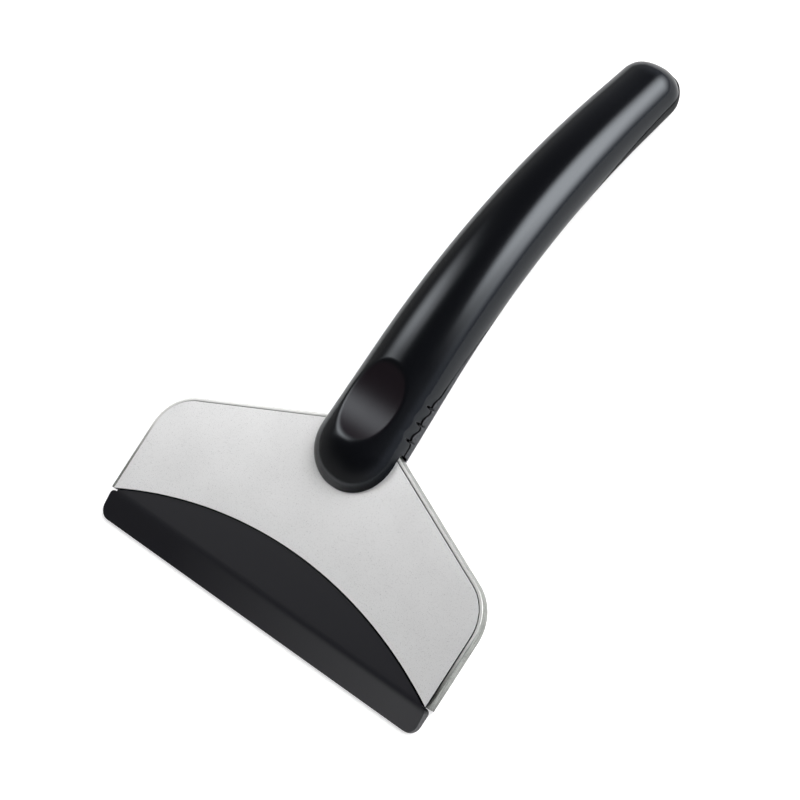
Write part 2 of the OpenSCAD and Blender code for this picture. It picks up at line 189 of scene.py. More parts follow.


# Pressed stainless sheet: a greyish wall with drawing marks along it, kept darker as painted shade, under a
# rim painted bright where it faces up, a painted highlight
def pressedSteel():
    look = {"grainMm": 0.25, "markMm": 3.0, "markShare": 9.0, "markMix": 0.5, "bumpMm": 0.01,
            "greys": ((0.38, "#80827e"), (0.6, "#bcbeba")), "rim": "#e9e9e7", "rimFrom": 0.8, "rimTo": 0.97,
            "wallMetal": 0.9, "rimMetal": 0.5}
    material, tree, shader = startMaterial("pressedStainlessSteel", Roughness=0.28)
    place = addNode(tree, "ShaderNodeTexCoord").outputs["Object"]
    grain = addNode(tree, "ShaderNodeTexNoise", {"Vector": place, "Scale": 1 / (look["grainMm"] * mm),
                                                 "Detail": 2.0})
    level = addNode(tree, "ShaderNodeMapping", {"Vector": place, "Rotation": (-restTilt, 0, 0)})
    along = addNode(tree, "ShaderNodeMapping", {"Vector": level.outputs["Vector"],
                                                "Scale": (1, 1, look["markShare"])})
    marks = addNode(tree, "ShaderNodeTexNoise", {"Vector": along.outputs["Vector"],
                                                 "Scale": 1 / (look["markMm"] * mm), "Detail": 2.0})
    both = addNode(tree, "ShaderNodeMix", {0: look["markMix"], 2: grain.outputs["Fac"],
                                           3: marks.outputs["Fac"]})
    tint = addNode(tree, "ShaderNodeValToRGB", {"Fac": both.outputs[0]}, stops=look["greys"])
    # Painted highlight: the rim, which faces up, is coloured bright and made less metallic; the wall's greys
    # stay darker as painted shade
    litRim = facingUp(tree, look["rimFrom"], look["rimTo"])
    whole = addNode(tree, "ShaderNodeMix", {0: litRim, 6: tint.outputs["Color"], 7: hexColor(look["rim"])},
                    data_type="RGBA")
    tree.links.new(whole.outputs[2], shader.inputs["Base Color"])
    metal = addNode(tree, "ShaderNodeMapRange", {"Value": litRim, "To Min": look["wallMetal"],
                                                 "To Max": look["rimMetal"]})
    tree.links.new(metal.outputs["Result"], shader.inputs["Metallic"])
    bump = addNode(tree, "ShaderNodeBump", {"Height": both.outputs[0], "Distance": look["bumpMm"] * mm})
    tree.links.new(bump.outputs["Normal"], shader.inputs["Normal"])
    return material


# Injection-moulded polypropylene: deep black with a soft sheen and a fine moulding grain. The bevel has a
# painted sheen that grows paler towards its right end, and a painted shade line darkens the corner along
# the panel's arc, further out on the right
def mouldedPolypropylene():
    look = {"grainMm": 0.35, "bumpMm": 0.006, "smooth": 0.32, "rough": 0.4, "sheenStart": -30.0,
            "sheenEnd": 46.0, "sheenY": -80.6, "sheenFade": 1.6, "paintedSheen": ((0.0, "#141419"), (1.0, "#3d3d3f")),
            "paintedShade": "#050506", "paintedShadeMm": 0.44, "paintedShadeShift": 0.6, "shine": 0.5}
    material, tree, shader = startMaterial("mouldedPolypropylene", IOR=1.49)
    place = addNode(tree, "ShaderNodeTexCoord").outputs["Object"]
    grain = addNode(tree, "ShaderNodeTexNoise", {"Vector": place, "Scale": 1 / (look["grainMm"] * mm),
                                                 "Detail": 2.0})
    bump = addNode(tree, "ShaderNodeBump", {"Height": grain.outputs["Fac"], "Distance": look["bumpMm"] * mm})
    tree.links.new(bump.outputs["Normal"], shader.inputs["Normal"])
    rough = addNode(tree, "ShaderNodeMapRange", {"Value": grain.outputs["Fac"], "To Min": look["smooth"],
                                                 "To Max": look["rough"]})
    tree.links.new(rough.outputs["Result"], shader.inputs["Roughness"])
    parts = addNode(tree, "ShaderNodeSeparateXYZ", {0: place}).outputs
    # Painted sheen: the bevel is coloured paler towards its right end
    along = addNode(tree, "ShaderNodeMapRange", {"Value": parts["X"], "From Min": look["sheenStart"] * mm,
                                                 "From Max": look["sheenEnd"] * mm})
    onBevel = addNode(tree, "ShaderNodeMapRange", {"Value": parts["Y"], "From Min": look["sheenY"] * mm,
                                                   "From Max": (look["sheenY"] + look["sheenFade"]) * mm,
                                                   "To Min": 1.0, "To Max": 0.0},
                      interpolation_type="SMOOTHSTEP")
    sheenShare = addNode(tree, "ShaderNodeMath", {0: along.outputs[0], 1: onBevel.outputs[0]}, operation="MULTIPLY")
    tint = addNode(tree, "ShaderNodeValToRGB", {"Fac": sheenShare.outputs[0]}, stops=look["paintedSheen"])
    # Painted shade: a near-black line along the panel's arc, its circle moved left so that the line is wider
    # on the right, where the panel's edge hides the corner; its shine is taken away too
    r = arcRadius()
    centre = headToRow @ Vector((-look["paintedShadeShift"], head["arcPeakY"] - r, 0))
    away = addNode(tree, "ShaderNodeVectorMath", {0: place, 1: centre}, operation="DISTANCE")
    paintedShade = addNode(tree, "ShaderNodeMapRange", {"Value": away.outputs["Value"],
                                                 "From Min": (r - look["paintedShadeMm"]) * mm,
                                                 "From Max": (r - look["paintedShadeMm"] / 2) * mm})
    whole = addNode(tree, "ShaderNodeMix", {0: paintedShade.outputs[0], 6: tint.outputs["Color"],
                                            7: hexColor(look["paintedShade"])}, data_type="RGBA")
    tree.links.new(whole.outputs[2], shader.inputs["Base Color"])
    shine = addNode(tree, "ShaderNodeMapRange", {"Value": paintedShade.outputs[0], "To Min": look["shine"],
                                                 "To Max": 0.0})
    tree.links.new(shine.outputs["Result"], shader.inputs["Specular IOR Level"])
    return material


# High-gloss moulded ABS: mirror-like blue-black with a faint slow waviness and a satin thumb recess. Its
# reflections are tinted cool as painted light, and dulled round the nose's foot as painted shade
def glossAbs():
    look = {"waveMm": 9.0, "waveHeightMm": 0.012, "wear": ((0.0, "#0b0c0f"), (1.0, "#181317")),
            "gloss": 0.17, "satin": 0.21, "shine": 0.5, "footShine": 0.09}
    # The specular tint cools every reflection, a painted tint of the light
    material, tree, shader = startMaterial("polishedBlackAbs", IOR=1.5, Specular_Tint=(0.88, 0.94, 1.0, 1.0))
    place = addNode(tree, "ShaderNodeTexCoord").outputs["Object"]
    wave = addNode(tree, "ShaderNodeTexNoise", {"Vector": place, "Scale": 1 / (look["waveMm"] * mm),
                                                "Detail": 1.0})
    bump = addNode(tree, "ShaderNodeBump", {"Height": wave.outputs["Fac"],
                                            "Distance": look["waveHeightMm"] * mm})
    tree.links.new(bump.outputs["Normal"], shader.inputs["Normal"])
    recess = addNode(tree, "ShaderNodeAttribute", attribute_name="inRecess")
    tint = addNode(tree, "ShaderNodeValToRGB", {"Fac": recess.outputs["Fac"]}, stops=look["wear"])
    tree.links.new(tint.outputs["Color"], shader.inputs["Base Color"])
    rough = addNode(tree, "ShaderNodeMapRange", {"Value": recess.outputs["Fac"], "To Min": look["gloss"],
                                                 "To Max": look["satin"]})
    tree.links.new(rough.outputs["Result"], shader.inputs["Roughness"])
    # Painted shade: the foot round the nose has its reflections dulled
    foot = addNode(tree, "ShaderNodeAttribute", attribute_name="footShade")
    shine = addNode(tree, "ShaderNodeMapRange", {"Value": foot.outputs["Fac"], "To Min": look["shine"],
                                                 "To Max": look["footShine"]})
    tree.links.new(shine.outputs["Result"], shader.inputs["Specular IOR Level"])
    return material


# Spark-eroded ABS: the lower shell's matt black, from a fine pitted mould, paler towards the nose and darker
# towards the tail, with painted shade on its edge in the seam
def textureAbs():
    look = {"pitMm": 0.3, "bumpMm": 0.03, "plain": ((0.3, "#121314"), (0.7, "#1a1b1c")),
            "paler": ((0.3, "#26272a"), (0.7, "#505154")), "palerY": -14.0, "palerFade": 30.0,
            "seam": "#060607", "shine": 0.25}
    material, tree, shader = startMaterial("sparkErodedAbs", Roughness=0.58, IOR=1.5)
    place = addNode(tree, "ShaderNodeTexCoord").outputs["Object"]
    pits = addNode(tree, "ShaderNodeTexNoise", {"Vector": place, "Scale": 1 / (look["pitMm"] * mm),
                                                "Detail": 2.0})
    plain = addNode(tree, "ShaderNodeValToRGB", {"Fac": pits.outputs["Fac"]}, stops=look["plain"])
    pale = addNode(tree, "ShaderNodeValToRGB", {"Fac": pits.outputs["Fac"]}, stops=look["paler"])
    # The tone goes from paler at the nose to darker at the tail
    alongY = addNode(tree, "ShaderNodeSeparateXYZ", {0: place}).outputs["Y"]
    share = addNode(tree, "ShaderNodeMapRange", {"Value": alongY, "From Min": look["palerY"] * mm,
                                                 "From Max": (look["palerY"] + look["palerFade"]) * mm},
                    interpolation_type="SMOOTHSTEP")
    tint = addNode(tree, "ShaderNodeMix", {0: share.outputs[0], 6: pale.outputs["Color"],
                                           7: plain.outputs["Color"]}, data_type="RGBA")
    # Painted shade: the edge in the seam is coloured near black and loses its shine
    seam = addNode(tree, "ShaderNodeAttribute", attribute_name="inSeam")
    seamShaded = addNode(tree, "ShaderNodeMix", {0: seam.outputs["Fac"], 6: tint.outputs[2],
                                            7: hexColor(look["seam"])}, data_type="RGBA")
    tree.links.new(seamShaded.outputs[2], shader.inputs["Base Color"])
    shine = addNode(tree, "ShaderNodeMapRange", {"Value": seam.outputs["Fac"], "To Min": look["shine"],
                                                 "To Max": 0.0})
    tree.links.new(shine.outputs["Result"], shader.inputs["Specular IOR Level"])
    bump = addNode(tree, "ShaderNodeBump", {"Height": pits.outputs["Fac"], "Distance": look["bumpMm"] * mm})
    tree.links.new(bump.outputs["Normal"], shader.inputs["Normal"])
    return material


# The small parts' finishes: plain, with soft clouds of one shade in another
def cloudedFinish(name, cloudMm, detail, shades, **sockets):
    material, tree, shader = startMaterial(name, **sockets)
    place = addNode(tree, "ShaderNodeTexCoord").outputs["Object"]
    clouds = addNode(tree, "ShaderNodeTexNoise", {"Vector": place, "Scale": 1 / (cloudMm * mm),
                                                  "Detail": detail})
    tint = addNode(tree, "ShaderNodeValToRGB", {"Fac": clouds.outputs["Fac"]}, stops=shades)
    tree.links.new(tint.outputs["Color"], shader.inputs["Base Color"])
    return material


print("materials")
panelMetal = blastedSteel()
panMetal = pressedSteel()
bladePlastic = mouldedPolypropylene()
topPlastic = glossAbs()
bottomPlastic = textureAbs()
# Plain aluminium: pale and slightly dull, as set by a rivet press
rivetMetal = cloudedFinish("pressedAluminium", 0.4, 3.0, ((0.3, "#bcbdc0"), (0.7, "#d8d9db")),
                           Metallic=1.0, Roughness=0.38)
# Zinc-plated steel: bluish grey, with slight clouds in the plating
screwMetal = cloudedFinish("zincPlatedSteel", 1.5, 3.0, ((0.3, "#9fa3ab"), (0.7, "#c2c5c9")),
                           Metallic=1.0, Roughness=0.3)
# Acrylic bonding film: milky and soft
tapeFilm = cloudedFinish("acrylicBondingFilm", 2.0, 2.0, ((0.3, "#dcdbd2"), (0.7, "#e6e5dd")),
                         Roughness=0.5, IOR=1.47)


# The lesser of two heights, with the change from one to the other rounded over k
def smoothMin(a, b, k):
    near = np.maximum(k - np.abs(a - b), 0)
    return np.minimum(a, b) - near ** 2 / (4 * k)


# A modifier's result becomes the piece's own mesh
def applied(piece):
    made = bpy.data.meshes.new_from_object(piece.evaluated_get(bpy.context.evaluated_depsgraph_get()))
    piece.modifiers.clear()
    piece.data = made
    return piece


# Cuts rods out of a piece, or joins them to it. A rod has a middle, a direction, a radius and two ends:
# its rings are the middle plus a circle square to the direction, at the bottom and at the top
def withRods(piece, rods, operation, rodSides=48):
    points, faces = [], []
    turns = np.linspace(0, 2 * math.pi, rodSides + 1)[:-1]
    for middle, axis, radius, bottom, top in rods:
        side = np.cross(axis, (1.0, 0, 0))
        ring = radius * (np.cos(turns)[:, None] * np.array((1.0, 0, 0)) + np.sin(turns)[:, None] * side)
        base = len(points) * len(turns)
        for end in (bottom, top):
            points.append(np.asarray(middle) + ring + np.asarray(axis) * end)
        faces += (ringFaces(2, len(turns)) + base).tolist()
        faces += [list(range(base, base + len(turns))),
                  list(range(base + len(turns), base + 2 * len(turns)))]
    cutter = addPiece("rods", np.concatenate(points), faces, piece.data.materials[0])
    change = piece.modifiers.new("rods", "BOOLEAN")
    change.operation, change.object, change.solver = operation, cutter, "EXACT"
    applied(piece)
    bpy.data.objects.remove(cutter)
    return piece


# The blade is a copy of its CAD node with its triangles joined. The crease between its land and its bevel
# becomes a wide soft bend, the smooth lesser of the two heights, and its edges are rounded by a bevel
def softBlade(name, node, material):
    look = {"creaseY": 7.3, "landH": 0.7, "bendMm": 1.1, "cuts": 13, "joinMm": 1e-3, "cutMm": 1e-5,
            "onTopMm": 0.01, "flatDeg": 0.5, "edgeMm": 0.14, "edgeSteps": 3, "edgeDeg": 30,
            "faceWeight": 100}
    mesh = frame["nodes"][node].data.copy()
    mesh.materials.clear()
    mesh.materials.append(material)
    mesh.transform(headToRow.inverted())
    bm = bmesh.new()
    bm.from_mesh(mesh)
    bmesh.ops.remove_doubles(bm, verts=bm.verts, dist=look["joinMm"])
    bmesh.ops.dissolve_limit(bm, angle_limit=math.radians(look["flatDeg"]), verts=bm.verts, edges=bm.edges)
    land, edge = head["plateBottom"] + head["bladeT"] + look["landH"], head["plateBottom"] + head["edgeT"]
    slope = (land - edge) / look["creaseY"]
    for y in np.linspace(look["creaseY"] - look["bendMm"], look["creaseY"] + look["bendMm"], look["cuts"]):
        bmesh.ops.bisect_plane(bm, geom=bm.verts[:] + bm.edges[:] + bm.faces[:], dist=look["cutMm"],
                               plane_co=(0, y, 0), plane_no=(0, 1, 0))
    for vert in bm.verts:
        high = min(land, edge + slope * vert.co.y)
        if abs(vert.co.z - high) < look["onTopMm"]:
            vert.co.z = float(smoothMin(land, edge + slope * vert.co.y, slope * look["bendMm"]))
    bm.to_mesh(mesh)
    bm.free()
    mesh.transform(headToRow)
    mesh.polygons.foreach_set("use_smooth", np.ones(len(mesh.polygons), bool))
    piece = bpy.data.objects.new(name, mesh)
    bpy.context.scene.collection.objects.link(piece)
    bevel = piece.modifiers.new("edges", "BEVEL")
    bevel.width = look["edgeMm"] * mm
    bevel.segments = look["edgeSteps"]
    bevel.limit_method = "ANGLE"
    bevel.angle_limit = math.radians(look["edgeDeg"])
    normals = piece.modifiers.new("normals", "WEIGHTED_NORMAL")
    normals.weight = look["faceWeight"]
    applied(piece)
    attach(piece, "root")
    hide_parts(node)
    return piece


# Where the shoulder line, grown by grow, is at x: it rises from the side towards the handle
def shoulderY(x, grow):
    slope = math.radians(head["shoulderAngle"])
    return head["panelSideY"] + (head["panelW"] / 2 - x) * math.tan(slope) + grow / math.cos(slope)


# The right side of the head's outline, grown by grow: straight side, round corner, shoulder line
def headSide(grow, frontY, rootX, cornerSteps=24, shoulderSteps=12):
    half, r = head["panelW"] / 2 + grow, head["cornerR"] + grow
    turn = math.radians(90 - head["shoulderAngle"])
    cornerY = shoulderY(half, grow) - r * math.tan(turn / 2)
    a = np.linspace(0, turn, cornerSteps)
    corner = np.stack([half - r + r * np.cos(a), cornerY + r * np.sin(a)], -1)
    x = np.linspace(corner[-1, 0], rootX, shoulderSteps)[1:]
    shoulder = np.stack([x, shoulderY(x, grow)], -1)
    return np.concatenate([[[half, frontY]], corner, shoulder])


# The panel's whole outline: the arc in front, both sides and the tongue under the handle
def panelOutline(grow):
    half = head["panelW"] / 2 + grow
    r = arcRadius()
    centreY = head["arcPeakY"] - r
    r -= grow
    spread = math.asin(half / r)
    a = np.linspace(math.pi / 2 + spread, math.pi / 2 - spread, head["arcSteps"])
    arc = np.stack([r * np.cos(a), centreY + r * np.sin(a)], -1)
    side = headSide(grow, arc[-1, 1], head["tongueW"] / 2 + grow)[1:]
    side = np.concatenate([side, [[head["tongueW"] / 2 + grow, head["tongueY"] + grow]]])
    return np.concatenate([arc, side, side[::-1] * (-1, 1)])


# A flat sheet with rounded edges: rings from its top face, round the edge, to its bottom face
def sheetPanel(name, material):
    r, t = head["sheetEdgeR"], head["panelT"]
    turn = np.linspace(0, math.pi / 2, head["sheetEdgeSteps"])
    insets = r * (1 - np.sin(turn))
    drops = r * (1 - np.cos(turn))
    rings = [np.column_stack([panelOutline(-d), np.full(len(panelOutline(0)), z)])
             for d, z in zip(np.concatenate([insets, insets[::-1]]),
                             np.concatenate([-drops, drops[::-1] - t]))]
    count = len(rings[0])
    faces = ringFaces(len(rings), count).tolist()
    faces += [list(range(count)), list(range((len(rings) - 1) * count, len(rings) * count))]
    return addPiece(name, np.concatenate(rings), faces, material, flatFaces=2)


# The pan: a section of rim, wall, bend and floor is carried along both sides of the head, to the neck
def sheetPan(name, material):
    t, bend, inBend = head["panT"], head["panBendR"], head["panInBendR"]
    rimR, inRimR = head["rimEdgeR"], head["rimInEdgeR"]
    top, floor, inner = -head["rimDrop"], -head["stackT"], head["rimGap"]
    outer = inner + t
    bow = np.linspace(0, math.pi / 2, head["panBendSteps"])
    rim = np.linspace(0, math.pi / 2, head["rimSteps"])
    flat, middle = outer - bend - head["panFlat"], (inner + inRimR + outer - rimR) / 2
    outerG = np.concatenate([[middle], outer - rimR + rimR * np.sin(rim),
                             outer - bend + bend * np.cos(bow), [flat]])
    outerZ = np.concatenate([[top], top - rimR + rimR * np.cos(rim),
                             floor + bend - bend * np.sin(bow), [floor]])
    innerG = np.concatenate([inner + inRimR - inRimR * np.sin(rim),
                             inner - inBend + inBend * np.cos(bow), [flat]])
    innerZ = np.concatenate([top - inRimR + inRimR * np.cos(rim),
                             floor + t + inBend - inBend * np.sin(bow), [floor + t]])
    half = head["neckW"] / 2

    # A line along the side, and then along the neck, where there is no wall
    def sideLine(grow, z):
        path = headSide(grow, head["panelFrontY"], half + head["sidePlay"])
        low = min(z, floor + t)
        neck = [[half, path[-1, 1], low], [half, head["tongueY"], low], [half, head["neckEndY"], low]]
        return np.concatenate([np.column_stack([path, np.full(len(path), z)]), neck])

    outside = [sideLine(g, z) for g, z in zip(outerG, outerZ)]
    inside = [sideLine(g, z) for g, z in zip(innerG, innerZ)]
    over = (-1, 1, 1)
    ring = np.stack(outside + [line * over for line in outside[::-1] + inside] + inside[::-1], 1)
    rows, cols = ring.shape[:2]
    ends = (range(cols), range((rows - 1) * cols, rows * cols))
    points, faces, _ = welded(ring.reshape(-1, 3), ringFaces(rows, cols), ends)
    return addPiece(name, points, faces, material, flatFaces=2)


# The rivets' bores in the pan, three on each side along its shoulder
def rivetRods():
    rods = []
    for side in (-1, 1):
        for i in range(head["rivetCount"]):
            x = head["panelW"] / 2 - head["rivetSide"] - i * head["rivetPitch"]
            rods.append(((side * x, shoulderY(x, 0) - head["rivetBack"], 0), (0, 0, 1),
                         head["rivetD"] / 2, -head["stackT"] - head["rodOver"], head["rodOver"]))
    return rods


print("head")
head.update({"arcSteps": 160, "sheetEdgeR": 0.05, "sheetEdgeSteps": 5,
             "panBendR": 0.6, "panInBendR": 0.15, "panBendSteps": 9, "panFlat": 2.0, "sidePlay": 0.15,
             "rimEdgeR": 0.14, "rimInEdgeR": 0.04, "rimSteps": 7,
             "rivetCount": 3, "rivetD": 2.4, "rivetSide": 8.6, "rivetPitch": 14.0, "rivetBack": 9.0,
             "rodOver": 1.0})
panel = sheetPanel("panel", panelMetal)
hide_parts("front_panel")
blade = softBlade("blade", "scraper_blade", bladePlastic)
pan = withRods(sheetPan("pan", panMetal), rivetRods(), "DIFFERENCE")
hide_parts("back_pan")


# The handle's sizes, in millimetres along and square to its curved axis
handle = {
    "noseY": 38.0, "length": 136.3, "axisDepth": 1.4, "straight": 36.4, "bendR": 187.0, "bendAngle": 24.8,
    "noseHalfW": 12.3, "tailHalfW": 8.2, "noseHalfH": 8.3, "tailHalfH": 6.7, "tailRound": 7.9,
    "wall": 2.0, "seamGap": 0.28, "seamDip": 4.2, "dipStart": 24.0, "dipEnd": 130.0, "power": 2.3,
    "edgeR": 0.16, "fineEnd": 38.0, "fineStep": 0.12, "gripStep": 0.8,
    "noseRows": 34, "tailRows": 26, "sides": 130, "innerSides": 30,
    "edgeShares": (0, 0.0011, 0.0024, 0.0042, 0.0068, 0.011), "firstShare": 0.018,
    "skin": 0.06,  # the smooth skin lies this far inside, where the CAD's flat facets run
    "tailPlay": 0.001,  # keeps the last ring off the point where the section closes
    "lip": 0.8, "lipStart": 131.0, "lipEnd": 136.0,  # the lower shell stands out past the upper at the tail
    "paintedShade": 0.12, "paintedShadeFull": 1.5,  # painted shade on the lower shell's edge in the seam
    "foot": 2.6, "footFull": 1.4, "footFade": 3.0,  # the nose's foot, where reflections are dulled as painted shade
    "slotGap": 1.1,  # from the pan's shoulder to the end of the shells' slot for the head
    "slotStep": 0.3,  # length over which the edges go from that slot to the seam
}
recess = {"y": 61.4, "length": 21.6, "width": 15.4, "edgeR": 0.3,
          "outside": 1e3}  # a height that is out of reach, where there is no recess
notch = {"first": 20.8, "pitch": 4.7, "rises": (1.25, 1.05, 0.85), "halfL": 2.75, "dent": 0.24,
         "dentFromEdge": 0.9, "dentW": 1.4, "tickBefore": 1.2, "tickDepth": 1.0, "tickHalfW": 0.2,
         "tickReach": 1.5, "gap": 0.3, "gapStart": 15.0, "gapEnd": 36.0}


def mix(a, b, t):
    return a + (b - a) * t


# From 0 to 1 with a soft start and end
def eased(t):
    return t * t * (3 - 2 * t)


# The axis's bend at s: it grows evenly along the arc, up to the bend angle
def bendAt(s):
    return np.clip((s - handle["straight"]) / handle["bendR"], 0, math.radians(handle["bendAngle"]))


# The axis runs straight, then along an arc, then straight at the bend angle
def axisPoint(s):
    bend = bendAt(s)
    end = math.radians(handle["bendAngle"])
    after = np.maximum(s - handle["straight"] - handle["bendR"] * end, 0)
    y = handle["noseY"] + np.minimum(s, handle["straight"]) + handle["bendR"] * np.sin(bend)
    z = -handle["axisDepth"] - handle["bendR"] * (1 - np.cos(bend))
    return y + after * math.cos(end), z - after * math.sin(end)


# Full size tapers along the handle and closes as an ellipse at the nose and the tail
def halfSize(s, w, nose, tail):
    fromNose = np.clip(1 - (s - w) / (handle["noseHalfW"] - w), 0, 1)
    fromTail = np.clip(1 - (handle["length"] - w - s) / (handle["tailRound"] - w), 0, 1)
    share = np.sqrt(1 - fromNose ** 2) * np.sqrt(1 - fromTail ** 2)
    return (mix(nose, tail, s / handle["length"]) - w) * share


# Half the section's width and height at s, set in by w
def halfW(s, w):
    return halfSize(s, w, handle["noseHalfW"], handle["tailHalfW"])


def halfH(s, w):
    return halfSize(s, w, handle["noseHalfH"], handle["tailHalfH"])


# The seam dips below the axis along the grip, as a squared sine
def seamAt(s):
    t = np.clip((s - handle["dipStart"]) / (handle["dipEnd"] - handle["dipStart"]), 0, 1)
    return -handle["seamDip"] * np.sin(math.pi * t) ** 2


# Places of the rings: close together on the nose, round the recess and on the tail
def ringPlaces(w, noseLift):
    noseR, tailR = handle["noseHalfW"] - w, handle["tailRound"] - w
    first = math.asin(noseLift / (handle["noseHalfH"] - w))
    last = math.asin(handle["seamGap"] / 2 / (handle["tailHalfH"] - w))
    nose = w + noseR * (1 - np.cos(np.linspace(first, math.pi / 2, handle["noseRows"])))
    tailStart = handle["length"] - handle["tailRound"]
    fine = np.arange(handle["noseHalfW"], handle["fineEnd"], handle["fineStep"])[1:]
    grip = np.linspace(fine[-1], tailStart, int((tailStart - fine[-1]) / handle["gripStep"]))[1:]
    turn = np.linspace(math.pi / 2, last, handle["tailRows"])[1:]
    tail = handle["length"] - w - tailR * (1 - np.cos(turn))
    return np.concatenate([nose, fine, grip, tail])


# Half a section of the handle: a superellipse from its edge, lift above the axis, over to the other edge
def halfShell(s, w, side, lift, shares):
    a, h = halfW(s, w)[:, None], halfH(s, w)[:, None]
    power = handle["power"]
    level = side * lift[:, None] / np.maximum(h, 1e-6)
    start = np.sign(level) * np.arcsin(np.minimum(np.abs(level), 1) ** (power / 2))
    t = start + (math.pi - 2 * start) * shares[None, :]
    c, d = np.cos(t), np.sin(t)
    x = a * np.sign(c) * np.abs(c) ** (2 / power) * side
    z = h * np.sign(d) * np.abs(d) ** (2 / power) * side
    y0, z0 = axisPoint(s)
    bend = bendAt(s)[:, None]
    return np.stack([x, y0[:, None] + z * np.sin(bend), z0[:, None] + z * np.cos(bend)], -1)


# Outward normals of a grid from the cross product of its two directions: along the handle, then round the
# section. The end rows take their neighbour's mean
def gridNormals(grid):
    n = np.cross(np.gradient(grid, axis=0), np.gradient(grid, axis=1))
    n /= np.maximum(np.linalg.norm(n, axis=-1, keepdims=True), 1e-9)
    for end, inner in ((0, 1), (-1, -2)):
        mean = n[inner].mean(axis=0)
        n[end] = mean / np.linalg.norm(mean)
    return n


# Shares along a section, with a few close ones at both edges for the rounding
def sectionShares():
    edge, first = np.array(handle["edgeShares"]), handle["firstShare"]
    return np.concatenate([edge, np.linspace(first, 1 - first, handle["sides"]), 1 - edge[::-1]])


# How far each point of a grid is from the nearer edge, measured along its section
def edgeDistance(grid):
    step = np.linalg.norm(np.diff(grid, axis=1), axis=-1)
    run = np.concatenate([np.zeros((len(grid), 1)), np.cumsum(step, axis=1)], axis=1)
    return np.minimum(run, run[:, -1:] - run)


# Each edge is rounded: a point nearer to it than the radius moves inwards by a quarter circle
def roundedEdges(grid, radius):
    near = np.clip(radius - edgeDistance(grid), 0, radius)
    depth = radius - np.sqrt(radius ** 2 - near ** 2)
    return grid - gridNormals(grid) * depth[..., None]


# The thumb recess is a scoop: a cylinder across the handle, sunk to where the crown is as wide as the recess
def recessHeight(grid, grow):
    s = np.array([recess["y"] - handle["noseY"]])
    h, a = halfH(s, 0)[0], halfW(s, 0)[0]
    power = handle["power"]
    crown = axisPoint(s)[1][0] + h
    depth = h * (1 - (1 - (recess["width"] / 2 / a) ** power) ** (1 / power))
    r = ((recess["length"] / 2) ** 2 + depth ** 2) / (2 * depth)
    away = grid[..., 1] - recess["y"]
    inside = np.abs(away) < r
    scoop = crown - depth + r - np.sqrt(np.maximum((r + grow) ** 2 - away ** 2, 0))
    return np.where(inside, scoop, recess["outside"])


# A grid sunk to the recess, with a mask that is 1 inside it
def sunk(grid, grow):
    bowl = recessHeight(grid, grow)
    out = grid.copy()
    out[..., 2] = smoothMin(grid[..., 2], bowl, recess["edgeR"])
    return out, np.clip((grid[..., 2] - bowl) / recess["edgeR"], 0, 1)


# The finger notches are waves of the seam: each lifts it by a squared cosine about its own place
def notchTooth(s):
    tooth = np.zeros_like(s)
    for i, rise in enumerate(notch["rises"]):
        t = np.clip((s - notch["first"] - i * notch["pitch"]) / notch["halfL"], -1, 1)
        tooth += rise * np.cos(math.pi / 2 * t) ** 2
    return tooth


# The notches are also dented above the seam, and a narrow groove crosses it where each wave rises. Both
# are bell curves of the distance along the handle and from the seam, and move a point inwards
def notched(grid, s, side):
    near = edgeDistance(grid)
    deep = np.zeros_like(near)
    if side > 0:
        share = notchTooth(s)[:, None] / max(notch["rises"])
        deep += notch["dent"] * share * np.exp(-((near - notch["dentFromEdge"]) / notch["dentW"]) ** 2)
    for i in range(len(notch["rises"])):
        away = (s - notch["first"] + notch["tickBefore"] - i * notch["pitch"]) / notch["tickHalfW"]
        deep += notch["tickDepth"] * np.exp(-away ** 2)[:, None] * np.exp(-(near / notch["tickReach"]) ** 4)
    return grid - gridNormals(grid) * deep[..., None]


# Distance along the axis at which the head's shoulders leave the handle
def shoulderS():
    rise = (head["panelW"] / 2 - handle["noseHalfW"]) * math.tan(math.radians(head["shoulderAngle"]))
    return head["panelSideY"] + rise + head["rimGap"] + head["panT"] + handle["slotGap"] - handle["noseY"]


# Height of a shell's edge above the axis: on the head near the nose, and along the seam behind it
def edgeLift(s, side):
    y, z = axisPoint(s)
    onHead = (0.0 if side > 0 else -head["stackT"]) - z
    inZone = np.clip(np.minimum(s - notch["gapStart"], notch["gapEnd"] - s), 0, 1)
    onSeam = seamAt(s) + notchTooth(s) + side * (handle["seamGap"] + notch["gap"] * inZone) / 2
    t = np.clip((s - shoulderS()) / handle["slotStep"] + 0.5, 0, 1)
    return mix(onHead, onSeam, eased(t))


# The small flat under the tail: nothing reaches below the surface that the scraper rests on
def aboveRest(grid):
    low = toRow(grid)[:, 2].reshape(grid.shape[:2]) / mm
    up = np.array([0, math.sin(restTilt), math.cos(restTilt)])
    return grid + np.maximum(-low, 0)[..., None] * up


